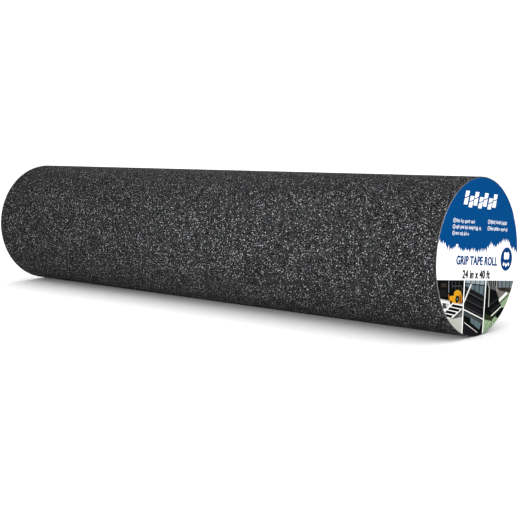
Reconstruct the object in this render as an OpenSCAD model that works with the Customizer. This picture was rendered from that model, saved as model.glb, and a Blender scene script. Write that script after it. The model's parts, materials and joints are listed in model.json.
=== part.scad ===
// Roll of abrasive anti-slip tape, wound with its release liner on a paperboard core.
// Millimetres. The roll lies along X with its axis on the origin, the labelled end towards +X, +Z up.
// The web is wound as a true spiral: each half turn is an arc half a lay larger than the one before,
// and the arcs swap between two centres half a lay apart, so that they join without a step.

/* [Tape web] */
// Width of the web, which is the length of the roll (24 in)
web_w = 609.6; // [150:0.1:1220]
// Length of tape on the roll (40 ft)
web_len = 12192; // [3000:1:20000]
// Thickness of the abrasive tape: grit, film and adhesive
tape_t = 0.70; // [0.5:0.05:1.2]
// Thickness of the release liner
liner_t = 0.08; // [0.06:0.01:0.2]
// Radial clearance on each face of the liner
lay_gap = 0.01; // [0.01:0.005:0.05]
// Clearance between pieces that come apart, such as the free end and the turn below it
part_gap = 0.25; // [0.05:0.05:0.5]

/* [Core] */
// Inside diameter of the core (3 in)
core_id = 76.2; // [38:0.1:100]
// Wall of the core
core_wall = 3.8; // [2.5:0.1:8]
// Thickness of the strip that holds the first turn to the core
start_tape_t = 0.08; // [0.05:0.01:0.2]
// Angle of core that the strip covers
start_tape_angle = 40; // [15:1:90]

/* [Free end] */
// Shortest free end that is left after the last whole half turn
tail_min = 40; // [30:1:60]
// Place of the root of the free end, as an angle above the horizontal at the back
tail_root_angle = 72; // [60:1:80]
// Width of a holding tab along the roll
tab_w = 25; // [15:1:50]
// Length of a holding tab on each side of the cut end
tab_reach = 24; // [15:1:35]
// Thickness of a holding tab
tab_t = 0.12; // [0.08:0.01:0.3]
// Distance of each holding tab from its own end of the roll, as a share of the roll's length
tab_share = 0.22; // [0.1:0.01:0.4]

/* [End label] */
// Thickness of the label
label_t = 0.35; // [0.1:0.05:1]
// Distance of the label's edge inside the edge of the roll
label_inset = 0.8; // [0.2:0.1:5]

/* [Hidden] */
$fn = 180;

lay = tape_t + liner_t + 2 * lay_gap;          // radial growth of one turn
core_or = core_id / 2 + core_wall;
wind_r0 = core_or + start_tape_t + 2 * lay_gap; // inner radius of the first half turn
ramp_angle = 2;                                // over which a tab comes down off the cut end
step_angle = 1;                                // between the points of a thin strip's curve

function inner_r(k) = wind_r0 + k * lay / 2;                // of half turn k
function middle_arc(k) = PI * (inner_r(k) + lay / 2);       // length of half turn k
function is_upper(k) = k % 2 == 0;
function centre_x(k) = is_upper(k) ? 0 : -lay / 2;
function whole_half_turns(k = 0, used = 0) =
    used + middle_arc(k) > web_len - tail_min ? k : whole_half_turns(k + 1, used + middle_arc(k));
function wound_length(k) = k == 0 ? 0 : wound_length(k - 1) + middle_arc(k - 1);

// The free end leaves clockwise from the joint line, so the wound part has to stop on an upper half turn.
counted = whole_half_turns();
half_turns = is_upper(counted) ? counted - 1 : counted;
under_r = inner_r(half_turns);                 // outside of the turn below the free end
tail_r = under_r + part_gap;                   // inside of the free end
tail_x = centre_x(half_turns);
tail_len = web_len - wound_length(half_turns);
tail_angle = tail_len / (tail_r + lay / 2) * 180 / PI;
root_angle = part_gap / tail_r * 180 / PI;     // gap between the free end and the wound part
skin_r = tail_r + lay;                         // outside of the free end
roll_r = inner_r(half_turns - 1) + lay;        // outside of the last whole half turn
label_r = roll_r - label_inset;
tab_angle = tab_reach / skin_r * 180 / PI;

// Stands a profile of the spiral's plane up on the roll's axis, turned so that the joint line is at the root.
module along_roll(from_x, length) {
    rotate([90, 0, 90])
        rotate([0, 0, tail_root_angle])
            translate([0, 0, from_x])
                linear_extrude(length)
                    children();
}

// Outline of a thin strip: the points of its outer side, then those of its inner side back again.
module strip_outline(angles, inside_r, thickness) {
    count = len(angles);
    outside = [for (i = [0 : count - 1]) (inside_r[i] + thickness) * [cos(angles[i]), sin(angles[i])]];
    inside = [for (i = [count - 1 : -1 : 0]) inside_r[i] * [cos(angles[i]), sin(angles[i])]];
    polygon(concat(outside, inside));
}

// A thin strip bent to an arc in short flat steps, through the roll's width.
module thin_strip(r, thickness, from, angle, centre = 0) {
    steps = ceil(angle / step_angle);
    angles = [for (i = [steps : -1 : 0]) from + angle * i / steps];
    along_roll(-web_w / 2, web_w)
        translate([centre, 0])
            strip_outline(angles, [for (a = angles) r], thickness);
}

// A strip bent to an exact arc, from one angle to another, through the roll's width.
module bent_strip(r, thickness, from, angle, centre = 0) {
    rotate([90, 0, 90])
        rotate([0, 0, tail_root_angle])
            translate([centre, 0, -web_w / 2])
                rotate([0, 0, from])
                    rotate_extrude(angle = angle)
                        translate([r, 0])
                            square([thickness, web_w]);
}

// One layer of the wound web, at this height above the inner radius of each half turn.
module wound_layer(height, thickness) {
    for (k = [0 : half_turns - 1])
        bent_strip(inner_r(k) + height, thickness, is_upper(k) ? 0 : 180, 180, centre_x(k));
}

// Outline of a tab: it lies on the free end, comes down over the cut edge and lies on the turn below.
module tab_profile() {
    end = -root_angle - tail_angle;
    angles = [for (a = [end + tab_angle : -step_angle : end - tab_angle]) a];
    function fall(a) = a > end ? 0 : a > end - ramp_angle ? (end - a) / ramp_angle : 1;
    inside_r = [for (a = angles) part_gap + skin_r * (1 - fall(a)) + under_r * fall(a)];
    translate([tail_x, 0])
        strip_outline(angles, inside_r, tab_t);
}

module seal_tab(side) {
    middle = side * web_w * (0.5 - tab_share);
    color("wheat")
        along_roll(middle - tab_w / 2, tab_w)
            tab_profile();
}

module core_tube() {
    color("tan")
        rotate([0, 90, 0])
            difference() {
                cylinder(r = core_or, h = web_w, center = true);
                cylinder(d = core_id, h = web_w + 2, center = true);
            }
}

module core_start_tape() {
    color("white")
        thin_strip(core_or + lay_gap, start_tape_t, 180 - start_tape_angle, start_tape_angle);
}

module wound_tape() {
    color("dimgray")
        wound_layer(liner_t + 2 * lay_gap, tape_t);
}

module wound_liner() {
    color("ivory")
        wound_layer(lay_gap, liner_t);
}

module tape_tail() {
    color("dimgray")
        bent_strip(tail_r + liner_t + 2 * lay_gap, tape_t, -root_angle - tail_angle, tail_angle, tail_x);
}

module liner_tail() {
    color("ivory")
        thin_strip(tail_r + lay_gap, liner_t, -root_angle - tail_angle, tail_angle, tail_x);
}

module end_label() {
    color("royalblue")
        translate([web_w / 2 + part_gap, 0, 0])
            rotate([0, 90, 0])
                cylinder(r = label_r, h = label_t);
}

core_tube();
core_start_tape();
wound_tape();
wound_liner();
tape_tail();
liner_tail();
seal_tab(-1);  // seal_tab_left
seal_tab(1);  // seal_tab_right
end_label();
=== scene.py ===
import json
import math
import random

import bmesh
import bpy
from mathutils import Matrix, Vector, noise

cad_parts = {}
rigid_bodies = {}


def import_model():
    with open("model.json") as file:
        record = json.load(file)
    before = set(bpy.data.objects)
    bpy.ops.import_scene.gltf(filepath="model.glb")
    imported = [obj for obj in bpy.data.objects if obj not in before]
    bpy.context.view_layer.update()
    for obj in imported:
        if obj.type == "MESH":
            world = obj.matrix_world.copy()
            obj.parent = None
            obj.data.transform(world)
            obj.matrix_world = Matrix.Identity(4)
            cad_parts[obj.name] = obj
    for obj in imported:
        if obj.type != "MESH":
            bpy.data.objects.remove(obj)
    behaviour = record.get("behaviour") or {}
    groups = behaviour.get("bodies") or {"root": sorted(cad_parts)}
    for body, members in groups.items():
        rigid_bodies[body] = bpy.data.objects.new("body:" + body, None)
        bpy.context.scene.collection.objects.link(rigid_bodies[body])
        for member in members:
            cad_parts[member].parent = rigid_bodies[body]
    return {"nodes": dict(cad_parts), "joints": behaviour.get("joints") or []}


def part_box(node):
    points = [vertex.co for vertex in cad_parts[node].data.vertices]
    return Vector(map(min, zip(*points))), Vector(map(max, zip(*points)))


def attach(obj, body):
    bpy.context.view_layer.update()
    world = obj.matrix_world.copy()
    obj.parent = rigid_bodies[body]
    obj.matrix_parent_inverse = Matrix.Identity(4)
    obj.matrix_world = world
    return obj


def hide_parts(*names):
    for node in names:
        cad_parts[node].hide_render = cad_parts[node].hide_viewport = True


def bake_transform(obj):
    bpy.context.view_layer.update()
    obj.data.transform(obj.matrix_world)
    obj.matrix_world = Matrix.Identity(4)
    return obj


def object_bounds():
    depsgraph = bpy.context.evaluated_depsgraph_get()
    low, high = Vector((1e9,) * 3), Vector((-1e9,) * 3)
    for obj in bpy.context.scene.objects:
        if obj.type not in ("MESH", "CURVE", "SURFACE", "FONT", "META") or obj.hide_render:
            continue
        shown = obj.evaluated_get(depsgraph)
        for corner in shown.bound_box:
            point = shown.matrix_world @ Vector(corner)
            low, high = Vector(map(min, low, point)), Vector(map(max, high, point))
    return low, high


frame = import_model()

# Roll of anti-slip grip tape, in metres. The roll lies along X, its label towards +X.
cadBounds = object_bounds()
scene = bpy.context.scene
mm = 0.001
rollAxis = Vector((1, 0, 0))
hinges = {joint["name"]: Vector(joint.get("pos_m") or (0, 0, 0)) for joint in frame["joints"]}

coreLow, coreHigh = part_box("core_tube")
labelLow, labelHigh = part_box("end_label")
coreRadius = coreHigh.z
halfLength = coreHigh.x
floorHeight = cadBounds[0][2]

web = {
    "lay": 0.8 * mm,              # growth of one turn
    "liner": 0.08 * mm,
    "slack": 0.01 * mm,           # on each face of the liner
    "firstRadius": coreRadius + 0.1 * mm,
    "halfTurns": 69,
    "root": math.radians(72),     # where the free end leaves the roll, above the horizontal at the back
    "lift": 0.25 * mm,            # the free end stands this far off the turn below
    "tailAngle": math.radians(43.13),
    "coarseSteps": 36,            # to a half turn, inside the roll
    "cell": 1.7 * mm,             # mesh cell of the grit surface
    "wander": 0.55 * mm,          # how far the turns' edges wander inwards at the ends
    "linerDepth": 0.12 * mm,      # the liner's edges lie this much deeper
    "linerShows": 1.1 * mm,       # length of liner past the cut end of the tape
}
rootWay = Vector((0, math.cos(web["root"]), math.sin(web["root"])))


# ---- making and placing meshes ----

def newPiece(name, bm, materials, body, stands=(), smooth=True):
    mesh = bpy.data.meshes.new(name)
    bm.to_mesh(mesh)
    bm.free()
    piece = bpy.data.objects.new(name, mesh)
    scene.collection.objects.link(piece)
    for material in materials:
        mesh.materials.append(material)
    if smooth:
        mesh.shade_smooth()
    if isinstance(body, str):
        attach(piece, body)
    else:
        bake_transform(piece)
    if stands:
        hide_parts(*stands)
    return piece


def sharpenEdges(bm, degrees):
    limit = math.radians(degrees)
    for edge in bm.edges:
        if len(edge.link_faces) == 2 and edge.calc_face_angle(0) > limit:
            edge.smooth = False


def closeLoops(bm):
    openEdges = [edge for edge in bm.edges if len(edge.link_faces) == 1]
    if openEdges:
        bmesh.ops.holes_fill(bm, edges=openEdges, sides=0)


def profileLoop(bm, points):
    verts = [bm.verts.new(point) for point in points]
    return [bm.edges.new((verts[i], verts[(i + 1) % len(verts)])) for i in range(len(verts))]


def raiseFaces(bm, height):
    # gives flat faces a thickness
    raised = bmesh.ops.extrude_face_region(bm, geom=bm.faces[:])
    verts = [item for item in raised["geom"] if isinstance(item, bmesh.types.BMVert)]
    bmesh.ops.translate(bm, verts=verts, vec=height)


def joinInto(bm, part):
    # adds the part's mesh to bm and frees the part
    holder = bpy.data.meshes.new("part")
    part.to_mesh(holder)
    part.free()
    bm.from_mesh(holder)
    bpy.data.meshes.remove(holder)


# ---- the wound web ----

def innerRadius(halfTurn):
    return web["firstRadius"] + halfTurn * web["lay"] / 2


def turnCentre(halfTurn):
    # every other half turn is centred half a lay off the axis, which makes the spiral
    return Vector() if halfTurn % 2 == 0 else -rootWay * web["lay"] / 2


def startPoint(halfTurn, height, x):
    side = -1 if halfTurn % 2 == 0 else 1
    point = turnCentre(halfTurn) + rootWay * side * (innerRadius(halfTurn) + height)
    point.x = x
    return point


def stripProfile(bm, halfTurn, low, high, cuts=1):
    # cuts: how many cells the outer side has along the roll
    outer = [startPoint(halfTurn, high, halfLength * (2 * i / cuts - 1)) for i in range(cuts + 1)]
    inner = [startPoint(halfTurn, low, halfLength), startPoint(halfTurn, low, -halfLength)]
    return profileLoop(bm, outer + inner)


def windTurns(bm, first, last, low, high, cuts, stretches, steps):
    # each stretch of a half turn is spun on its own and merged at the end, which is much quicker
    for halfTurn in range(first, last):
        for i in range(stretches):
            part = bmesh.new()
            edges = stripProfile(part, halfTurn, low, high, cuts)
            centre = turnCentre(halfTurn)
            bmesh.ops.rotate(part, verts=part.verts, cent=centre,
                             matrix=Matrix.Rotation(-math.pi * i / stretches, 3, "X"))
            bmesh.ops.spin(part, geom=edges, cent=centre, axis=rollAxis, angle=-math.pi / stretches,
                           steps=steps, use_duplicate=False)
            joinInto(bm, part)
    bmesh.ops.remove_doubles(bm, verts=bm.verts, dist=0.002 * mm)


def finishStrip(bm):
    closeLoops(bm)
    bmesh.ops.recalc_face_normals(bm, faces=bm.faces)


def wanderEdges(bm, deeper=0.0):
    # the edge of each turn lies a little deeper or higher than the next one's
    for vert in bm.verts:
        if abs(abs(vert.co.x) - halfLength) > 0.01 * mm:
            continue
        radius = math.hypot(vert.co.y, vert.co.z)
        turn = (radius - web["firstRadius"]) / web["lay"]
        side = math.copysign(1, vert.co.x)
        slow = noise.noise(Vector((turn * 0.35, side * 5, 0)))
        drift = slow + 0.5 * noise.noise(Vector((turn * 1.7, side * 9, 3)))
        depth = web["wander"] * min(1, max(0, 0.5 + drift * 0.8))
        vert.co.x -= side * (depth + deeper)


grit = {
    "rise": 0.04 * mm,      # of the surface's unevenness
    "grain": 2.6 * mm,      # its size
    "fine": 0.035 * mm,     # random rise of each point
}


def roughen(bm, centre, minRadius):
    # raises and lowers the points of the grit side, in and out from the roll's axis
    draw = random.Random(80)
    for vert in bm.verts:
        outward = Vector((0, vert.co.y - centre.y, vert.co.z - centre.z))
        if outward.length < minRadius or abs(vert.co.x) > halfLength - 0.05 * mm:
            continue
        rise = grit["rise"] * noise.noise(vert.co / grit["grain"]) + grit["fine"] * draw.uniform(-1, 1)
        vert.co += outward.normalized() * rise


def paintSides(bm, gritSlot, underSlot, edgeSlot):
    # grit outside, adhesive or film inside, cut edges at the ends
    for face in bm.faces:
        middle = face.calc_center_median()
        outward = Vector((0, middle.y, middle.z)).normalized()
        facing = face.normal.dot(outward)
        if abs(face.normal.x) > 0.7 or abs(facing) < 0.4:
            face.material_index = edgeSlot
            face.smooth = False
        else:
            face.material_index = gritSlot if facing > 0 else underSlot
            face.smooth = True


# ---- shader groups ----

def newGroup(name, inputs, outputs):
    group = bpy.data.node_groups.new(name, "ShaderNodeTree")
    for socketName, kind, value in inputs:
        socket = group.interface.new_socket(socketName, in_out="INPUT", socket_type=kind)
        socket.default_value = value
    for socketName, kind in outputs:
        group.interface.new_socket(socketName, in_out="OUTPUT", socket_type=kind)
    return group, group.nodes.new("NodeGroupInput"), group.nodes.new("NodeGroupOutput")


def addNode(tree, kind, links=None, **settings):
    node = tree.nodes.new(kind)
    sockets = settings.pop("values", {})
    for key, value in settings.items():
        setattr(node, key, value)
    for key, value in sockets.items():
        node.inputs[key].default_value = value
    for key, source in (links or {}).items():
        tree.links.new(source, node.inputs[key])
    return node


def mathNode(tree, operation, first, second=None, clamp=False):
    node = tree.nodes.new("ShaderNodeMath")
    node.operation = operation
    node.use_clamp = clamp
    for index, value in enumerate((first, second)):
        if value is None:
            continue
        if isinstance(value, (int, float)):
            node.inputs[index].default_value = value
        else:
            tree.links.new(value, node.inputs[index])
    return node.outputs[0]


def objectPlace(tree):
    return addNode(tree, "ShaderNodeTexCoord").outputs["Object"]


def mixColours(tree, factor, first, second, blend="MIX"):
    node = tree.nodes.new("ShaderNodeMix")
    node.data_type = "RGBA"
    node.blend_type = blend
    for key, value in ((0, factor), (6, first), (7, second)):
        if isinstance(value, (int, float, tuple)):
            node.inputs[key].default_value = value
        else:
            tree.links.new(value, node.inputs[key])
    return node.outputs[2]


def gritGroup():
    # mineral grains in a black binder: each cell is one grain with its own brightness and height, and a few
    # grains get a painted glint in their colour
    group, given, result = newGroup(
        "mineralGrit",
        [("Cell", "NodeSocketFloat", 0.0005), ("Dark", "NodeSocketFloat", 0.0001),
         ("Bright", "NodeSocketFloat", 0.105), ("Sparkle", "NodeSocketFloat", 0.38)],
        [("Color", "NodeSocketColor"), ("Roughness", "NodeSocketFloat"), ("Height", "NodeSocketFloat")])
    place = objectPlace(group)
    scale = mathNode(group, "DIVIDE", 1.0, given.outputs["Cell"])
    cells = addNode(group, "ShaderNodeTexVoronoi", {"Vector": place, "Scale": scale})
    fineScale = mathNode(group, "MULTIPLY", scale, 2.7)
    fine = addNode(group, "ShaderNodeTexVoronoi", {"Vector": place, "Scale": fineScale})
    patches = addNode(group, "ShaderNodeTexNoise", {"Vector": place}, values={"Scale": 28.0, "Detail": 3.0})
    split = addNode(group, "ShaderNodeSeparateColor", {"Color": cells.outputs["Color"]})
    fineSplit = addNode(group, "ShaderNodeSeparateColor", {"Color": fine.outputs["Color"]})
    draw = mathNode(group, "ADD", mathNode(group, "MULTIPLY", split.outputs["Red"], 0.92),
                    mathNode(group, "MULTIPLY", fineSplit.outputs["Green"], 0.08))
    # brightness runs evenly in stops from Dark to Bright
    ratio = mathNode(group, "DIVIDE", given.outputs["Bright"], given.outputs["Dark"])
    level = mathNode(group, "MULTIPLY", given.outputs["Dark"], mathNode(group, "POWER", ratio, draw))
    # a few grains in a hundred get a painted glint: a bright facet's highlight painted into their colour
    paintedGlintLevel = mathNode(group, "MULTIPLY", mathNode(group, "GREATER_THAN", split.outputs["Blue"], 0.98),
                     given.outputs["Sparkle"])
    level = mathNode(group, "ADD", level, paintedGlintLevel)
    worn = mathNode(group, "ADD", 0.93, mathNode(group, "MULTIPLY", patches.outputs["Fac"], 0.14))
    level = mathNode(group, "MULTIPLY", level, worn)
    tint = mathNode(group, "MULTIPLY", mathNode(group, "SUBTRACT", split.outputs["Green"], 0.5), 0.16)
    warm = mathNode(group, "MULTIPLY", level, mathNode(group, "ADD", 1.0, tint))
    cool = mathNode(group, "MULTIPLY", level, mathNode(group, "SUBTRACT", 1.03, tint))
    colour = addNode(group, "ShaderNodeCombineColor", {"Red": warm, "Green": level, "Blue": cool})
    group.links.new(colour.outputs["Color"], result.inputs["Color"])
    rough = mathNode(group, "SUBTRACT", 0.92, mathNode(group, "MULTIPLY", draw, 0.35))
    group.links.new(rough, result.inputs["Roughness"])
    dome = mathNode(group, "SUBTRACT", 1.0, cells.outputs["Distance"])
    fineDome = mathNode(group, "MULTIPLY", mathNode(group, "SUBTRACT", 1.0, fine.outputs["Distance"]), 0.35)
    height = mathNode(group, "ADD", mathNode(group, "MULTIPLY", dome, split.outputs["Blue"]), fineDome)
    group.links.new(height, result.inputs["Height"])
    return group


def paperGroup():
    # fibres and faint mottling of paper and board
    group, given, result = newGroup(
        "paperFibre",
        [("Color", "NodeSocketColor", (0.8, 0.8, 0.8, 1)), ("Scale", "NodeSocketFloat", 400.0),
         ("Mottle", "NodeSocketFloat", 0.1)],
        [("Color", "NodeSocketColor"), ("Roughness", "NodeSocketFloat"), ("Height", "NodeSocketFloat")])
    place = objectPlace(group)
    stretched = addNode(group, "ShaderNodeMapping", {"Vector": place}, values={"Scale": (1.0, 1.0, 3.2)})
    fibre = addNode(group, "ShaderNodeTexNoise",
                    {"Vector": stretched.outputs[0], "Scale": given.outputs["Scale"]},
                    values={"Detail": 5.0, "Roughness": 0.65})
    cloud = addNode(group, "ShaderNodeTexNoise", {"Vector": place}, values={"Scale": 45.0, "Detail": 2.0})
    both = mathNode(group, "ADD", mathNode(group, "MULTIPLY", fibre.outputs["Fac"], 0.6),
                    mathNode(group, "MULTIPLY", cloud.outputs["Fac"], 0.4))
    shade = mathNode(group, "ADD", 1.0, mathNode(
        group, "MULTIPLY", mathNode(group, "SUBTRACT", both, 0.5), given.outputs["Mottle"]))
    shadeColour = addNode(group, "ShaderNodeCombineColor", {"Red": shade, "Green": shade, "Blue": shade})
    tinted = mixColours(group, 1.0, given.outputs["Color"], shadeColour.outputs["Color"], "MULTIPLY")
    group.links.new(tinted, result.inputs["Color"])
    rough = mathNode(group, "ADD", 0.55, mathNode(group, "MULTIPLY", fibre.outputs["Fac"], 0.25))
    group.links.new(rough, result.inputs["Roughness"])
    group.links.new(fibre.outputs["Fac"], result.inputs["Height"])
    return group


mineralGrit = gritGroup()
paperFibre = paperGroup()


def newMaterial(name, **settings):
    material = bpy.data.materials.new(name)
    material.use_nodes = True
    shader = material.node_tree.nodes["Principled BSDF"]
    for key, value in settings.items():
        shader.inputs[key].default_value = value
    return material, material.node_tree, shader


def addBump(tree, shader, height, strength, depth):
    bump = addNode(tree, "ShaderNodeBump", {"Height": height},
                   values={"Strength": strength, "Distance": depth})
    tree.links.new(bump.outputs["Normal"], shader.inputs["Normal"])


def useGroup(tree, shader, group, bumpStrength, bumpDepth, **values):
    node = tree.nodes.new("ShaderNodeGroup")
    node.node_tree = group
    for key, value in values.items():
        node.inputs[key].default_value = value
    addBump(tree, shader, node.outputs["Height"], bumpStrength, bumpDepth)
    tree.links.new(node.outputs["Color"], shader.inputs["Base Color"])
    tree.links.new(node.outputs["Roughness"], shader.inputs["Roughness"])
    return node


def gritMaterial():
    material, tree, shader = newMaterial("gritSurface", **{"Specular IOR Level": 0.02})
    useGroup(tree, shader, mineralGrit, 0.6, 0.2 * mm)
    return material


def paperMaterial(name, colour, mottle=0.12, scale=400.0, depth=0.03 * mm, specular=0.2):
    material, tree, shader = newMaterial(name, **{"Specular IOR Level": specular})
    useGroup(tree, shader, paperFibre, 0.35, depth, Color=(*colour, 1), Mottle=mottle, Scale=scale)
    return material


def webEdgeMaterial():
    # slit edge of the tape: black film with a scatter of cut grains, in lighter and darker rings
    material, tree, shader = newMaterial("slitEdge", **{"Specular IOR Level": 0.25})
    # its cut grains also get a faint painted glint in their colour
    node = useGroup(tree, shader, mineralGrit, 0.4, 0.1 * mm, Cell=0.5 * mm, Dark=0.003, Bright=0.07,
                    Sparkle=0.08)
    place = objectPlace(tree)
    flat = addNode(tree, "ShaderNodeVectorMath", {0: place}, values={1: (0, 1, 1)}, operation="MULTIPLY")
    radius = addNode(tree, "ShaderNodeVectorMath", {0: flat.outputs[0]}, operation="LENGTH").outputs["Value"]
    rings = addNode(tree, "ShaderNodeTexNoise", {"W": radius}, noise_dimensions="1D",
                    values={"Scale": 420.0, "Detail": 3.0, "Roughness": 0.7})
    shade = addNode(tree, "ShaderNodeMapRange", {"Value": rings.outputs["Fac"]},
                    values={"From Min": 0.3, "From Max": 0.7, "To Min": 0.25, "To Max": 1.9})
    grey = addNode(tree, "ShaderNodeCombineColor",
                   {key: shade.outputs[0] for key in ("Red", "Green", "Blue")})
    colour = mixColours(tree, 1.0, node.outputs["Color"], grey.outputs["Color"], "MULTIPLY")
    tree.links.new(colour, shader.inputs["Base Color"])
    return material


def adhesiveMaterial():
    material, tree, shader = newMaterial("adhesiveFace", **{"Specular IOR Level": 0.5})
    place = objectPlace(tree)
    ripple = addNode(tree, "ShaderNodeTexNoise", {"Vector": place}, values={"Scale": 260.0, "Detail": 3.0})
    streak = addNode(tree, "ShaderNodeTexNoise", {"Vector": place}, values={"Scale": 30.0, "Detail": 2.0})
    colour = mixColours(tree, streak.outputs["Fac"], (0.05, 0.045, 0.035, 1), (0.10, 0.09, 0.07, 1))
    tree.links.new(colour, shader.inputs["Base Color"])
    rough = mathNode(tree, "ADD", 0.12, mathNode(tree, "MULTIPLY", streak.outputs["Fac"], 0.3))
    tree.links.new(rough, shader.inputs["Roughness"])
    addBump(tree, shader, ripple.outputs["Fac"], 0.4, 0.05 * mm)
    return material


def boardMaterial(name, light, dark):
    # spirally wound paperboard: fibre, with a scatter of darker flecks
    material, tree, shader = newMaterial(name, **{"Specular IOR Level": 0.15})
    node = useGroup(tree, shader, paperFibre, 0.5, 0.06 * mm, Color=(*light, 1), Mottle=0.5, Scale=260.0)
    place = objectPlace(tree)
    flecks = addNode(tree, "ShaderNodeTexNoise", {"Vector": place}, values={"Scale": 900.0, "Detail": 2.0})
    mask = mathNode(tree, "GREATER_THAN", flecks.outputs["Fac"], 0.66)
    colour = mixColours(tree, mathNode(tree, "MULTIPLY", mask, 0.5), node.outputs["Color"], (*dark, 1))
    tree.links.new(colour, shader.inputs["Base Color"])
    return material


def holdingTapeMaterial():
    # creped paper tape, thin enough for the black to show through a little
    material, tree, shader = newMaterial("holdingTape", **{"Specular IOR Level": 0.35})
    place = objectPlace(tree)
    drawn = addNode(tree, "ShaderNodeMapping", {"Vector": place}, values={"Scale": (4.0, 30.0, 30.0)})
    crepe = addNode(tree, "ShaderNodeTexNoise", {"Vector": drawn.outputs[0]},
                    values={"Scale": 60.0, "Detail": 3.0})
    colour = mixColours(tree, crepe.outputs["Fac"], (0.46, 0.37, 0.23, 1), (0.6, 0.51, 0.35, 1))
    tree.links.new(colour, shader.inputs["Base Color"])
    rough = mathNode(tree, "ADD", 0.45, mathNode(tree, "MULTIPLY", crepe.outputs["Fac"], 0.2))
    tree.links.new(rough, shader.inputs["Roughness"])
    alpha = mathNode(tree, "ADD", 0.5, mathNode(tree, "MULTIPLY", crepe.outputs["Fac"], 0.3))
    tree.links.new(alpha, shader.inputs["Alpha"])
    addBump(tree, shader, crepe.outputs["Fac"], 0.5, 0.15 * mm)
    return material


gritSurface = gritMaterial()
slitEdge = webEdgeMaterial()
adhesiveFace = adhesiveMaterial()
linerPaper = paperMaterial("linerPaper", (0.62, 0.60, 0.52), mottle=0.12, scale=300.0)
boardFace = boardMaterial("boardFace", (0.40, 0.29, 0.18), (0.22, 0.15, 0.09))
boardPly = boardMaterial("boardPly", (0.46, 0.34, 0.22), (0.26, 0.18, 0.11))
stripPaper = paperMaterial("startStripPaper", (0.62, 0.60, 0.54))
holdingTape = holdingTapeMaterial()
print("materials made")


# ---- roll of tape ----

def makeInnerTurns():
    last = web["halfTurns"] - 2
    bm = bmesh.new()
    low = web["liner"] + 2 * web["slack"]
    windTurns(bm, 0, last, low, web["lay"], 1, 1, web["coarseSteps"])
    finishStrip(bm)
    wanderEdges(bm)
    paintSides(bm, 0, 1, 2)
    return newPiece("innerTurns", bm, [gritSurface, adhesiveFace, slitEdge], "roll",
                    ["wound_tape"])


def makeOuterTurn():
    first = web["halfTurns"] - 2
    cuts = round(2 * halfLength / web["cell"])
    stretches = 8
    steps = round(math.pi * innerRadius(first) / web["cell"] / stretches)
    bm = bmesh.new()
    low = web["liner"] + 2 * web["slack"]
    windTurns(bm, first, web["halfTurns"], low, web["lay"], cuts, stretches, steps)
    finishStrip(bm)
    roughen(bm, Vector(), innerRadius(first) + web["lay"] * 0.7)
    paintSides(bm, 0, 1, 2)
    return newPiece("outerTurn", bm, [gritSurface, adhesiveFace, slitEdge], "roll",
                    ["wound_tape"])


def makeLinerTurns():
    bm = bmesh.new()
    low = web["slack"]
    windTurns(bm, 0, web["halfTurns"], low, low + web["liner"], 1, 1, web["coarseSteps"])
    finishStrip(bm)
    wanderEdges(bm, web["linerDepth"])
    return newPiece("linerTurns", bm, [linerPaper], "roll", ["wound_liner"])


def tailPoint(height, angle):
    # a point over the free end, this far off the turn below and this far round from its root
    spin = Matrix.Rotation(-angle, 3, "X")
    return turnCentre(web["halfTurns"]) + spin @ (rootWay * (innerRadius(web["halfTurns"]) + height))


tail = {
    "bend": 16 * mm,       # length along the free end from its root to the point bendEnd
    "ease": 9 * mm,        # length over which it rises off the turn below
}
tailRadius = innerRadius(web["halfTurns"]) + web["lay"]
bendStart = tailPoint(0, 0)
bendEnd = tailPoint(0, tail["bend"] / tailRadius)


def makeTailStrip(name, low, high, cuts, steps, materials, body, stands, paint, angle):
    k = web["halfTurns"]
    bm = bmesh.new()
    edges = stripProfile(bm, k, low, high, cuts)
    bmesh.ops.spin(bm, geom=edges, cent=turnCentre(k), axis=rollAxis, angle=-angle,
                   steps=steps, use_duplicate=False)
    finishStrip(bm)
    centre = turnCentre(k)
    for vert in bm.verts:
        outward = Vector((0, vert.co.y - centre.y, vert.co.z - centre.z))
        gone = rootWay.angle(outward.normalized()) * tailRadius
        share = min(1, gone / tail["ease"])
        vert.co += outward.normalized() * web["lift"] * share * share * (3 - 2 * share)
    paint(bm)
    return newPiece(name, bm, materials, ("roll", body, bendStart, bendEnd), stands)


def makeTapeTail():
    cuts = round(2 * halfLength / web["cell"])
    steps = round(web["tailAngle"] * tailRadius / web["cell"])

    def paint(bm):
        roughen(bm, turnCentre(web["halfTurns"]), innerRadius(web["halfTurns"]) + web["lay"] * 0.7)
        paintSides(bm, 0, 1, 2)

    low = web["liner"] + 2 * web["slack"]
    return makeTailStrip("tapeFreeEnd", low, web["lay"], cuts, steps, [gritSurface, adhesiveFace, slitEdge],
                         "tail", ["tape_tail"], paint, web["tailAngle"])


def makeLinerTail():
    low = web["slack"]
    return makeTailStrip("linerFreeEnd", low, low + web["liner"], 1, 40, [linerPaper],
                         "liner_end", ["liner_tail"], lambda bm: None,
                         web["tailAngle"] + web["linerShows"] / tailRadius)


makeInnerTurns()
makeOuterTurn()
makeLinerTurns()
makeTapeTail()
makeLinerTail()
print("web wound")


# ---- core ----

core = {
    "wall": 3.8 * mm,
    "plies": 5,
    "groove": 0.12 * mm,       # between the plies, on the end faces
    "seamGap": 0.7 * mm,       # between the edges of the inside ply
    "plyThickness": 0.35 * mm,
    "pitch": 96 * mm,          # of the inside ply's helix
    "steps": 144,
}
boreRadius = coreRadius - core["wall"]


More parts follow.
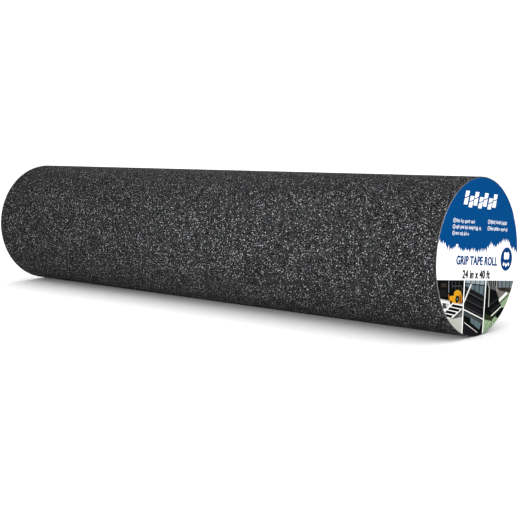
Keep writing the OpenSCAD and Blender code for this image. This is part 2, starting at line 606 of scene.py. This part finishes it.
def makeCore():
    # spun from half a section: the end faces show the plies as steps and fine grooves
    inside = boreRadius + core["plyThickness"]
    ply = (coreRadius - inside) / core["plies"]
    bm = bmesh.new()
    end = []
    for i in range(core["plies"]):
        low, high = inside + i * ply, inside + (i + 1) * ply
        cut = ply * 0.12
        depth = core["groove"] if i % 2 else core["groove"] * 0.4
        end += [(halfLength - depth - core["groove"], low), (halfLength - depth, low + cut),
                (halfLength - depth, high - cut)]
    end.append((halfLength - 2 * core["groove"], coreRadius))
    section = [Vector((x, 0, r)) for x, r in end] + [Vector((-x, 0, r)) for x, r in reversed(end)]
    edges = profileLoop(bm, section)
    bmesh.ops.spin(bm, geom=edges, cent=Vector(), axis=rollAxis, angle=2 * math.pi,
                   steps=core["steps"], use_merge=True, use_duplicate=False)
    bmesh.ops.remove_doubles(bm, verts=bm.verts, dist=0.001 * mm)
    bmesh.ops.recalc_face_normals(bm, faces=bm.faces)
    sharpenEdges(bm, 30)
    return newPiece("coreTube", bm, [boardFace], "roll", ["core_tube"])


def makeInsidePly():
    # one long strip of paper in a helix, trimmed at both ends of the core
    turnsNeeded = math.ceil(2 * halfLength / core["pitch"]) + 2
    width = core["pitch"] - core["seamGap"]
    startX = -halfLength - 1.5 * core["pitch"]
    low, high = boreRadius, boreRadius + core["plyThickness"]
    bm = bmesh.new()
    across = 8
    inner = [Vector((startX + width * i / across, 0, low)) for i in range(across + 1)]
    outer = [Vector((startX + width, 0, high)), Vector((startX, 0, high))]
    edges = profileLoop(bm, inner + outer)
    stepCount = core["steps"] // 2 * turnsNeeded
    bmesh.ops.spin(bm, geom=edges, cent=Vector(), axis=rollAxis, angle=2 * math.pi * turnsNeeded,
                   dvec=Vector((core["pitch"] * turnsNeeded / stepCount, 0, 0)), steps=stepCount,
                   use_duplicate=False)
    closeLoops(bm)
    for side in (-1, 1):
        trim = halfLength - 0.3 * mm
        bmesh.ops.bisect_plane(bm, geom=bm.verts[:] + bm.edges[:] + bm.faces[:], dist=0.001 * mm,
                               plane_co=(side * trim, 0, 0), plane_no=(side, 0, 0), clear_outer=True)
        closeLoops(bm)
    bmesh.ops.recalc_face_normals(bm, faces=bm.faces)
    sharpenEdges(bm, 30)
    return newPiece("coreInsidePly", bm, [boardPly], "roll")


makeCore()
makeInsidePly()
startStrip = frame["nodes"]["core_start_tape"]
startStrip.data.materials.clear()
startStrip.data.materials.append(stripPaper)
print("core made")


# ---- holding tabs ----

tab = {
    "width": 25 * mm,
    "reach": 24 * mm,         # on each side of the cut end
    "thickness": 0.12 * mm,
    "off": 0.06 * mm,         # above what it is stuck to
    "share": 0.22,            # of the roll's length, from its own end
    "teeth": 13,              # of the cut ends
    "toothDepth": 0.7 * mm,
    "fall": 3.2 * mm,         # length over which it comes down off the cut end
}


def makeTab(name, side, body, stands):
    middle = side * 2 * halfLength * (0.5 - tab["share"])
    across = tab["teeth"] * 2
    along = 40
    under = innerRadius(web["halfTurns"])
    top = under + web["lift"] + web["lay"]
    cutAngle = web["tailAngle"]
    reachAngle = tab["reach"] / top
    bm = bmesh.new()
    bmesh.ops.create_grid(bm, x_segments=across, y_segments=along, size=0.5)
    draw = random.Random(5 + side)
    for vert in bm.verts:
        u, v = vert.co.x, vert.co.y + 0.5        # across and along the tab
        column = round((u + 0.5) * across)
        if v < 0.001 or v > 0.999:               # toothed ends
            v += (column % 2 - 0.5) * tab["toothDepth"] / (2 * tab["reach"])
        angle = cutAngle - reachAngle + 2 * reachAngle * v
        past = (angle - cutAngle) * top / tab["fall"] + 0.15
        drop = min(1, max(0, past))
        drop = drop * drop * (3 - 2 * drop)
        radius = top * (1 - drop) + under * drop + tab["off"] + grit["rise"] + grit["fine"]
        crease = 0.06 * mm * noise.noise(Vector((u * 9, v * 6, side)))
        spin = Matrix.Rotation(-angle, 3, "X")
        vert.co = turnCentre(web["halfTurns"]) + spin @ (rootWay * (radius + abs(crease)))
        vert.co.x = middle + u * tab["width"] + draw.uniform(-1, 1) * 0.02 * mm
    bmesh.ops.recalc_face_normals(bm, faces=bm.faces)
    firstFace = bm.faces[:][0]
    if firstFace.normal.dot(firstFace.calc_center_median() * Vector((0, 1, 1))) < 0:
        bmesh.ops.reverse_faces(bm, faces=bm.faces)
    bmesh.ops.solidify(bm, geom=bm.faces[:], thickness=-tab["thickness"])
    bmesh.ops.recalc_face_normals(bm, faces=bm.faces)
    sharpenEdges(bm, 40)
    start = hinges["seal_peel_left"] * 1.0
    start.x = 0
    past = Matrix.Rotation(-(10 * mm) / top, 3, "X")
    return newPiece(name, bm, [holdingTape], ("tail", body, start, past @ start), stands)


makeTab("holdingTabLeft", -1, "tab_left", ["seal_tab_left"])
makeTab("holdingTabRight", 1, "tab_right", ["seal_tab_right"])
print("holding tabs made")


# ---- end label ----
# label places are in millimetres from its centre: u to the right and v up, seen from the label's side

labelRadius = labelHigh.z
label = {
    "turn": math.radians(-6),       # how far askew it is stuck on
    "card": 0.22 * mm,
    "print": 0.015 * mm,            # thickness of one printed layer
    "rim": 0.05,                    # of bare card around the print
    "blue": (0.0, 0.047, 0.17),
    "navy": (0.0, 0.033, 0.135),
    "white": (0.86, 0.86, 0.86),
    "gloss": 0.008,
}
labelTurn = Matrix.Rotation(label["turn"], 4, "X")
printBase = labelLow.x + label["card"]


def printLevel(level):
    return printBase + level * label["print"]


def clipFace(bm, cuts):
    # cuts: (point, outward way) in u and v
    for point, way in cuts:
        bmesh.ops.bisect_plane(
            bm, geom=bm.verts[:] + bm.edges[:] + bm.faces[:], dist=0.001 * mm,
            plane_co=(0, point[0] * mm, point[1] * mm), plane_no=(0, way[0], way[1]), clear_outer=True)


def discCuts(first=0.0, last=360.0, count=72):
    reach = labelRadius / mm - label["rim"]
    angles = [math.radians(first + (last - first) * i / count) for i in range(count + 1)]
    return [((reach * math.cos(a), reach * math.sin(a)), (math.cos(a), math.sin(a))) for a in angles]


def addPatch(bm, points, low, high, slotIndex, cuts=()):
    # a flat printed shape, trimmed, then given its thickness
    patch = bmesh.new()
    verts = [patch.verts.new((0, u * mm, v * mm)) for u, v in points]
    patch.faces.new(verts)
    clipFace(patch, cuts)
    if patch.faces:
        raiseFaces(patch, (high - low, 0, 0))
        bmesh.ops.translate(patch, verts=patch.verts, vec=(low, 0, 0))
        bmesh.ops.recalc_face_normals(patch, faces=patch.faces)
        for face in patch.faces:
            face.material_index = slotIndex
        joinInto(bm, patch)
    else:
        patch.free()


def addRing(bm, u, v, inside, outside, low, high):
    part = bmesh.new()
    spoke = [part.verts.new((low, (u + r) * mm, v * mm)) for r in (inside, outside)]
    bmesh.ops.spin(part, geom=[part.edges.new(spoke)], cent=(low, u * mm, v * mm), axis=rollAxis,
                   angle=2 * math.pi, steps=20, use_merge=True, use_duplicate=False)
    bmesh.ops.remove_doubles(part, verts=part.verts, dist=0.001 * mm)
    raiseFaces(part, (high - low, 0, 0))
    bmesh.ops.recalc_face_normals(part, faces=part.faces)
    joinInto(bm, part)


def labelPiece(name, bm, materials):
    bmesh.ops.transform(bm, matrix=labelTurn, verts=bm.verts)
    return newPiece(name, bm, materials, "label", smooth=False)


def inkMaterial(name, colour, mottle=0.08):
    return paperMaterial(name, colour, mottle=mottle, scale=700.0, depth=0.01 * mm, specular=label["gloss"])


def circlePoints(u, v, radius, count=48):
    return [(u + radius * math.cos(2 * math.pi * i / count), v + radius * math.sin(2 * math.pi * i / count))
            for i in range(count)]


def rectangle(left, low, right, high):
    return [(left, low), (right, low), (right, high), (left, high)]


def bar(start, end, wide):
    # a straight stroke between two points
    du, dv = end[0] - start[0], end[1] - start[1]
    long = math.hypot(du, dv)
    su, sv = -dv / long * wide / 2, du / long * wide / 2
    return [(start[0] - su, start[1] - sv), (end[0] - su, end[1] - sv),
            (end[0] + su, end[1] + sv), (start[0] + su, start[1] + sv)]


cardStock = inkMaterial("cardStock", (0.24, 0.24, 0.24), 0.2)
whiteInk = inkMaterial("labelWhite", label["white"])
blueInk = inkMaterial("labelBlue", label["blue"])
navyInk = inkMaterial("labelNavy", label["navy"])
blackInk = inkMaterial("labelBlack", (0.008, 0.008, 0.01))


def makeCard():
    bm = bmesh.new()
    bmesh.ops.create_circle(bm, cap_ends=True, radius=labelRadius, segments=180)
    bmesh.ops.rotate(bm, verts=bm.verts, matrix=Matrix.Rotation(math.pi / 2, 3, "Y"))
    bmesh.ops.translate(bm, verts=bm.verts, vec=(labelLow.x, 0, 0))
    raiseFaces(bm, (label["card"], 0, 0))
    bmesh.ops.recalc_face_normals(bm, faces=bm.faces)
    return newPiece("labelCard", bm, [cardStock], "label", ["end_label"], smooth=False)


ridge = {
    "low": 5.4,
    "seed": 4,
    "hills": ((-64, 10, 5.6), (-38.5, 3, 5.2), (19, 6, 5.6), (44, 15, 11.0)),    # place, half width, height
}


def ridgeHeight(u):
    return ridge["low"] + sum(tall * math.exp(-((u - place) / half) ** 2)
                              for place, half, tall in ridge["hills"])


def ridgeLine():
    # a torn edge: slow hills, with small uneven peaks and hollows in turn
    draw = random.Random(ridge["seed"])
    reach = labelRadius / mm
    u, side = -reach, 1
    points = []
    while u < reach:
        bite = draw.uniform(0.3, 2.1) if draw.random() < 0.75 else draw.uniform(2.0, 3.2)
        points.append((u, ridgeHeight(u) + side * bite))
        u += draw.uniform(0.7, 2.2)
        side = -side
    points.append((reach, ridgeHeight(reach)))
    return points


def makeWhiteField():
    bm = bmesh.new()
    reach = labelRadius / mm + 2
    addPatch(bm, rectangle(-reach, -reach, reach, reach), printLevel(0), printLevel(1), 0,
             discCuts(0, 360, 120))
    return labelPiece("labelWhiteField", bm, [whiteInk])


def makeBlueField():
    bm = bmesh.new()
    reach = labelRadius / mm + 2
    outline = [(-reach, ridge["low"])] + ridgeLine()
    outline += [(reach, ridge["low"]), (reach, reach), (-reach, reach)]
    addPatch(bm, outline, printLevel(1), printLevel(2), 0, discCuts(-20, 200, 88))
    return labelPiece("labelBlueField", bm, [blueInk])


emblem = {"blocks": 7, "wide": 6.0, "gap": 2.1, "low": 44.2, "tall": 9.8, "step": 2.0, "lean": 2.6,
          "groove": 1.1, "grooveAt": 0.42, "grooveRise": 1.8, "middle": -5.4}


def makeEmblem():
    # a row of leaning tread blocks, every other one taller, each with a slanted groove
    bm = bmesh.new()
    pitch = emblem["wide"] + emblem["gap"]
    start = emblem["middle"] - (emblem["blocks"] * pitch - emblem["gap"]) / 2
    for i in range(emblem["blocks"]):
        left, right = start + i * pitch, start + i * pitch + emblem["wide"]
        low = emblem["low"] - (emblem["step"] if i % 2 else 0)
        tall = emblem["tall"] + (0 if i % 2 else emblem["step"])
        slope = emblem["lean"] / tall

        def edge(u, up):
            return (u + slope * up, low + up)

        split = tall * emblem["grooveAt"]
        rise = emblem["grooveRise"]
        addPatch(bm, [edge(left, 0), edge(right, 0), edge(right, split + rise), edge(left, split)],
                 printLevel(2), printLevel(3), 0)
        split += emblem["groove"]
        addPatch(bm, [edge(left, split), edge(right, split + rise), edge(right, tall), edge(left, tall)],
                 printLevel(2), printLevel(3), 0)
    return labelPiece("labelEmblem", bm, [whiteInk])


features = {
    "rows": ((-47.5, 30.0, 36), (-47.5, 24.7, 47), (-47.5, 19.3, 27), (11.0, 31.4, 34), (11.0, 25.6, 36)),
    "mark": 1.95,          # radius of the tick's ring
    "ring": 0.42,          # its width
    "stroke": 0.42,
    "cross": 0.36,         # width of a cross stroke
    "clear": 0.02,         # between a cross stroke and its neighbours
    "letterGap": 0.78,
    "wordGap": 1.5,
}


def makeFeatureLines():
    # ticks in rings, each with a row of plain strokes in place of words
    bm = bmesh.new()
    draw = random.Random(3)
    low, high = printLevel(2), printLevel(3)
    for left, v, length in features["rows"]:
        u = left + features["mark"]
        addRing(bm, u, v, features["mark"] - features["ring"], features["mark"], low, high)
        tick = [(u - 0.9, v), (u - 0.3, v - 0.8), (u + 1.0, v + 0.8),
                (u + 0.7, v + 1.0), (u - 0.3, v - 0.3), (u - 0.65, v + 0.2)]
        addPatch(bm, tick, low, high, 0)
        u = left + 2 * features["mark"] + 0.9
        word = draw.randint(4, 7)
        while u < left + length:
            up = draw.choice((0.9, 0.9, 1.7))
            down = draw.choice((1.25, 1.25, 1.25, 2.0))
            wide = features["stroke"] * draw.uniform(0.8, 1.3)
            addPatch(bm, rectangle(u, v - down, u + wide, v + up), low, high, 0)
            if draw.random() < 0.5:
                cross = draw.choice((-1.2, -0.2, 0.5))
                end = u + wide + features["letterGap"] - features["clear"]
                top = v + cross + features["cross"]
                addPatch(bm, rectangle(u + wide + features["clear"], v + cross, end, top), low, high, 0)
            u += wide + features["letterGap"]
            word -= 1
            if word == 0:
                u += features["wordGap"]
                word = draw.randint(4, 8)
    return labelPiece("labelFeatureLines", bm, [whiteInk])


lettering = {
    "letOut": 0.03,      # of the outlines, as a share of the letters' height
    "again": 0.55,       # each line is printed twice, this far apart, which makes its strokes bolder
    "spacing": 1.06,
}


def letterMesh(words, middle, size, level):
    # size: width and height of the whole line
    curve = bpy.data.curves.new("words", "FONT")
    curve.body = words
    curve.fill_mode = "BOTH"
    curve.offset = lettering["letOut"]
    curve.space_character = lettering["spacing"]
    curve.resolution_u = 4
    holder = bpy.data.objects.new("words", curve)
    flat = bpy.data.meshes.new_from_object(holder)
    bpy.data.objects.remove(holder)
    bpy.data.curves.remove(curve)
    bm = bmesh.new()
    for i in range(2):
        part = bmesh.new()
        part.from_mesh(flat)
        bmesh.ops.remove_doubles(part, verts=part.verts, dist=0.0005)
        bmesh.ops.dissolve_degenerate(part, edges=part.edges, dist=0.0005)
        bmesh.ops.recalc_face_normals(part, faces=part.faces)
        raiseFaces(part, (0, 0, 1))
        bmesh.ops.recalc_face_normals(part, faces=part.faces)
        lows = [min(v.co[k] for v in part.verts) for k in range(2)]
        highs = [max(v.co[k] for v in part.verts) for k in range(2)]
        wide = size[0] - lettering["again"]
        for vert in part.verts:
            across, up = [(vert.co[k] - lows[k]) / (highs[k] - lows[k]) - 0.5 for k in range(2)]
            u = middle[0] + across * wide + (i - 0.5) * lettering["again"]
            out = printLevel(level + i) + vert.co.z * label["print"]
            vert.co = (out, u * mm, (middle[1] + up * size[1]) * mm)
        joinInto(bm, part)
    bpy.data.meshes.remove(flat)
    return bm


def makeTitle():
    return labelPiece("labelTitle", letterMesh("GRIP TAPE ROLL", (-2.4, -3.3), (71, 8.0), 1), [navyInk])


def makeSizeLine():
    return labelPiece("labelSizeLine", letterMesh("24 in x 40 ft", (-2.3, -15.2), (47.5, 7.6), 1), [blackInk])


badge = {"middle": (49.4, -0.8), "radius": 10.7, "stone": 1.8}


def makeBadge():
    # the grit number over a row of angular grains
    bm = bmesh.new()
    u, v = badge["middle"]
    addPatch(bm, circlePoints(u, v, badge["radius"], 64), printLevel(1), printLevel(2), 0)
    draw = random.Random(12)
    for i in range(3):
        cu, cv = u + (i - 1) * 4.3, v - 4.6 - (i % 2) * 0.8
        turn = draw.uniform(0, 1)
        angles = [2 * math.pi * (j + turn) / 5 for j in range(5)]
        stone = [(cu + badge["stone"] * math.cos(a), cv + badge["stone"] * math.sin(a)) for a in angles]
        addPatch(bm, stone, printLevel(2), printLevel(3), 1)
    digits = letterMesh("80", (u, v + 2.9), (9.6, 6.8), 2)
    for face in digits.faces:
        face.material_index = 1
    joinInto(bm, digits)
    return labelPiece("labelBadge", bm, [navyInk, whiteInk])


pictures = {
    "top": -20.4,
    "gap": 0.75,                                          # half the white gap between two pictures
    "leftGap": ((-21.8, -20.0), (-19.4, -65.0)),          # the gaps' middle lines
    "rightGap": ((15.4, -21.0), (16.2, -67.0)),
}
inkColours = {
    "night": (0.0015, 0.0018, 0.0018), "asphalt": (0.007, 0.007, 0.008), "slate": (0.036, 0.043, 0.046),
    "steel": (0.08, 0.115, 0.13), "mist": (0.22, 0.26, 0.28), "concrete": (0.37, 0.37, 0.34),
    "pale": (0.64, 0.64, 0.62), "yellow": (0.5, 0.24, 0.01), "orange": (0.2, 0.07, 0.015),
    "green": (0.2, 0.29, 0.165), "leaf": (0.016, 0.024, 0.01), "gravel": (0.13, 0.12, 0.105),
    "rust": (0.022, 0.016, 0.013),
}
pictureInks = {name: inkMaterial("picture" + name.title(), colour, 0.6)
               for name, colour in inkColours.items()}


def sideCut(line, side):
    # the cut along one side of a gap: side is -1 for the picture left of it, 1 for the one right of it
    (u, v), (u2, v2) = line
    long = math.hypot(u2 - u, v2 - v)
    way = ((v - v2) / long * -side, (u2 - u) / long * -side)
    return ((u - way[0] * pictures["gap"], v - way[1] * pictures["gap"]), way)


def makePicture(name, sideCuts, layers):
    # layers: (ink, level, outline) from the ground up
    cuts = discCuts(180, 360, 80) + [((0, pictures["top"]), (0, 1))] + sideCuts
    names = sorted({layer[0] for layer in layers})
    bm = bmesh.new()
    for ink, level, outline in layers:
        low = printLevel(1) if level == 0 else printLevel(2)
        addPatch(bm, outline, low, printLevel(level + 2), names.index(ink), cuts)
    return labelPiece(name, bm, [pictureInks[ink] for ink in names])


def makeWarehousePicture():
    # a loading bay: dark racks, a small yellow truck, floor stripes and a ramp
    layers = [("night", 0, rectangle(-72, -70, -16, -18)),
              ("rust", 1, rectangle(-59.5, -26.4, -50.5, -23.0)),
              ("asphalt", 1, rectangle(-64, -34.5, -50, -28.5)),
              ("pale", 1, [(-64, -36.2), (-45, -38.4), (-18, -42.0), (-18, -70), (-60, -70)]),
              ("concrete", 2, [(-60, -37.0), (-45, -38.9), (-18, -42.2), (-18, -41.0), (-45, -37.6),
                               (-60, -35.8)])]
    for i in range(4):                                     # uprights of the racks
        left = -47.6 + i * 5.6
        layers.append(("slate" if i else "mist", 2, bar((left, -19), (left + 1.4, -31 - i), 0.7)))
    for i in range(4):                                     # dark stripes on the floor
        u, v = -38.2 - 4.6 * i, -40.8 - 2.5 * i
        stripe = [(u, v), (u + 18 - i, v - 2.1), (u + 15.8 - i, v - 4.1), (u - 2.8, v - 1.9)]
        layers.append(("night", 3, stripe))
    # a post in the shade
    layers += [("slate", 3, [(-55, -39.4), (-44.4, -40.4), (-47.4, -44.2), (-54, -44.4)]),
               ("concrete", 4, circlePoints(-47.6, -41.6, 1.7, 12))]
    layers += [("slate", 4, [(-20, -44.2), (-38, -53.4), (-20, -51.6)]),
               ("gravel", 5, [(-20, -46.8), (-30, -51.8), (-20, -51.0)]),
               ("concrete", 4, [(-44, -52.6), (-18, -51.6), (-18, -68), (-34, -68)])]
    # the truck: body, counterweight, guard, mast and wheels
    layers += [("orange", 3, bar((-46.4, -32.4), (-43.6, -38.0), 2.0)),
               ("yellow", 4, [(-44.4, -34.0), (-36.0, -33.2), (-34.4, -40.2), (-43.4, -39.0)]),
               ("yellow", 5, [(-37.6, -30.6), (-33.0, -28.6), (-27.0, -29.8), (-23.2, -35.4), (-24.2, -40.6),
                              (-36.0, -40.0)]),
               ("night", 4, bar((-42.4, -28.4), (-38.6, -32.6), 3.0)),
               ("slate", 5, bar((-41.4, -25.6), (-26.0, -25.2), 0.9)),
               ("slate", 5, bar((-26.4, -25.2), (-24.6, -32.0), 0.8)),
               ("orange", 6, [(-28.4, -31.4), (-24.8, -34.2), (-24.2, -40.6), (-28, -40.4)]),
               ("night", 7, circlePoints(-31.6, -36.6, 3.2, 16)),
               ("night", 7, circlePoints(-41.4, -39.2, 1.8, 12)),
               ("steel", 8, circlePoints(-31.6, -36.6, 1.2, 10))]
    makePicture("labelPictureLeft", [sideCut(pictures["leftGap"], -1)], layers)


def makeStairPicture():
    # steel stairs: a window wall behind, a handrail, plain treads across and a lit panel below
    layers = [("night", 0, rectangle(-26, -72, 20, -18)),
              ("mist", 1, [(-22, -18), (18, -18), (18, -24.6), (-22, -22.6)]),
              ("steel", 1, [(-22, -23.4), (18, -25.6), (18, -40), (-22, -29)])]
    for i in range(5):                                      # uprights of the windows
        layers.append(("asphalt", 2, bar((-19 + 8 * i, -18.5), (-19.6 + 8 * i, -28 - 2 * i), 1.2)))
    for i in range(3):                                      # treads, each with a lighter nosing
        top = -24.5 - 6.8 * i
        layers += [("asphalt", 3, [(-22, top), (18, top - 10.6), (18, top - 14.6), (-22, top - 4.0)]),
                   ("slate", 4, bar((-22, top - 4.5), (18, top - 15.1), 0.7))]
    layers += [("pale", 5, bar((-9.9, -23.8), (-20.4, -39.6), 1.8)),
               ("slate", 2, [(-22, -46.4), (18, -57.2), (18, -60.2), (-22, -49.6)]),
               ("steel", 3, [(-7.4, -52.6), (12.4, -58.6), (9.8, -64.0), (-5.6, -57.4)]),
               ("slate", 4, bar((-1.2, -54.8), (0.6, -60.0), 0.8)),
               ("pale", 4, bar((-22, -45.0), (18, -55.6), 1.1)),
               ("asphalt", 2, [(-18, -57.6), (7, -67), (7, -72), (-18, -72)]),
               ("pale", 3, bar((-17, -56.8), (7, -66.4), 0.5))]
    sides = [sideCut(pictures["leftGap"], 1), sideCut(pictures["rightGap"], -1)]
    makePicture("labelPictureMiddle", sides, layers)


def makeGardenPicture():
    # garden steps: dark treads on grass, a post, gravel, a pale edging board and a fence
    layers = [("green", 0, rectangle(10, -72, 74, -18)),
              ("gravel", 1, [(24, -18), (74, -18), (74, -32.6), (58, -32.0), (40, -41.0), (28, -34)]),
              ("night", 2, [(12, -18), (36, -18), (33, -27), (38, -33), (46, -43), (28, -52), (12, -52)]),
              ("rust", 3, [(38.5, -27.6), (72, -28.4), (72, -32.4), (41, -29.4)]),
              ("asphalt", 2, rectangle(36, -27.8, 72, -18))]
    for i in range(13):                                     # fence slats
        left = 37.0 + i * 2.4
        layers.append(("mist" if i % 3 else "steel", 3, bar((left, -19), (left + 0.5, -26.8), 1.2)))
    for i in range(5):                                      # stems
        left = 19.5 + i * 3.6
        stem = bar((left, -19), (left + 2.6, -27 - i * 0.8), 0.7)
        layers.append(("mist" if i % 2 else "concrete", 3, stem))
    layers += [("mist", 4, bar((16.4, -20), (22.2, -27.8), 1.0)),
               ("concrete", 4, bar((22.3, -26.4), (23.4, -44), 1.4)),
               ("pale", 4, [(54.6, -30.3), (56.8, -32.5), (42.4, -40.0), (41.0, -37.2)]),
               ("night", 4, bar((58.4, -33.0), (42.0, -41.6), 1.0)),
               ("night", 3, [(24.4, -33.8), (34.4, -32.6), (40.2, -38.0), (25.0, -44.6)]),
               ("slate", 4, bar((26.0, -42.0), (38.4, -37.0), 0.6)),
               ("night", 3, [(24.0, -45.4), (39.8, -38.8), (46.8, -43.0), (28.4, -51.6)]),
               ("slate", 4, bar((28.0, -48.4), (43.6, -41.4), 0.6)),
               ("pale", 4, bar((29.4, -52.4), (47.4, -43.6), 0.9)),
               ("asphalt", 3, [(29.8, -53.0), (47.2, -44.2), (48.2, -45.2), (33, -54.6)]),
               ("night", 4, [(36.4, -52.8), (47.8, -44.8), (53.6, -45.6), (42.0, -54.6)]),
               ("leaf", 3, [(14, -49.6), (33.4, -52.8), (31.4, -57.0), (14, -54.6)])]
    draw = random.Random(9)
    for i in range(14):                                     # specks in the grass
        u, v = draw.uniform(17, 40), draw.uniform(-65, -57)
        layers.append(("pale" if i % 2 else "leaf", 2, bar((u, v), (u + 0.9, v + 0.8), 0.7)))
    makePicture("labelPictureRight", [sideCut(pictures["rightGap"], 1)], layers)


for makePart in (makeCard, makeWhiteField, makeBlueField, makeEmblem, makeFeatureLines, makeTitle,
                 makeSizeLine, makeBadge, makeWarehousePicture, makeStairPicture, makeGardenPicture):
    makePart()
print("label made")


# ---- floor, light and camera ----

def makeFloor():
    bm = bmesh.new()
    bmesh.ops.create_grid(bm, x_segments=2, y_segments=2, size=30)
    bmesh.ops.translate(bm, verts=bm.verts, vec=(0, 0, floorHeight - 0.15 * mm))
    mesh = bpy.data.meshes.new("studioFloor")
    bm.to_mesh(mesh)
    bm.free()
    floor = bpy.data.objects.new("studioFloor", mesh)
    scene.collection.objects.link(floor)
    material, tree, shader = newMaterial("studioFloor", **{
        "Base Color": (0.98, 0.98, 0.98, 1), "Roughness": 0.9, "Specular IOR Level": 0.0})
    mesh.materials.append(material)


studio = {
    "horizon": 1.27,
    "zenith": 1.42,
    "panel": (0.6, 0.15),              # size of both lights
    "spread": math.radians(56),
    "key": (2.0, Vector((0.45, -1.1, 0.36)), Vector((0.2, 0, 0))),      # watts, place and aim
    "fill": (1.2, Vector((0.2, -1.1, 0.1)), Vector((0.05, 0, 0))),
}


def makePanel(name, watts, place, aim):
    light = bpy.data.lights.new(name, "AREA")
    light.energy = watts
    light.shape = "RECTANGLE"
    light.size, light.size_y = studio["panel"]
    light.spread = studio["spread"]
    holder = bpy.data.objects.new(name, light)
    scene.collection.objects.link(holder)
    facing = (aim - place).to_track_quat("-Z", "Y").to_matrix().to_4x4()
    holder.matrix_world = Matrix.Translation(place) @ facing
    return holder


def makeLights():
    world = bpy.data.worlds.new("studio")
    scene.world = world
    world.use_nodes = True
    tree = world.node_tree
    direction = addNode(tree, "ShaderNodeTexCoord").outputs["Generated"]
    height = addNode(tree, "ShaderNodeSeparateXYZ", {"Vector": direction}).outputs["Z"]
    rise = addNode(tree, "ShaderNodeMapRange", {"Value": height}, interpolation_type="SMOOTHSTEP",
                   values={"From Min": 0.15, "From Max": 0.85, "To Min": studio["horizon"],
                           "To Max": studio["zenith"]})
    background = tree.nodes["Background"]
    background.inputs["Color"].default_value = (1, 1, 1, 1)
    tree.links.new(rise.outputs["Result"], background.inputs["Strength"])
    makePanel("fillLight", *studio["fill"])
    key = makePanel("keyLight", *studio["key"])
    # the key light is for the roll alone, so the floor keeps its soft shadow
    lit = bpy.data.collections.new("litByKey")
    for piece in scene.objects:
        if piece.type == "MESH" and piece.name != "studioFloor":
            lit.objects.link(piece)
    key.light_linking.receiver_collection = lit
    scene.view_settings.view_transform = "Standard"


view = {
    "azimuth": math.radians(41.45),
    "elevation": math.radians(6.58),
    "distance": 1.1108,
    "right": 0.0388,       # how far the view's centre lies from the middle of the roll
    "up": -0.0266,
    "lens": 72.03,         # on a 36 mm frame
}


def makeCamera():
    az, el = view["azimuth"], view["elevation"]
    back = Vector((math.sin(az) * math.cos(el), -math.cos(az) * math.cos(el), math.sin(el)))
    right = Vector((math.cos(az), math.sin(az), 0))
    up = back.cross(right)
    camera = bpy.data.cameras.new("camera")
    camera.lens = view["lens"]
    camera.sensor_width = 36
    holder = bpy.data.objects.new("camera", camera)
    scene.collection.objects.link(holder)
    place = back * view["distance"] + right * view["right"] + up * view["up"]
    holder.matrix_world = Matrix.Translation(place) @ (-back).to_track_quat("-Z", "Y").to_matrix().to_4x4()
    scene.camera = holder


makeFloor()
makeLights()
makeCamera()
print("studio made")
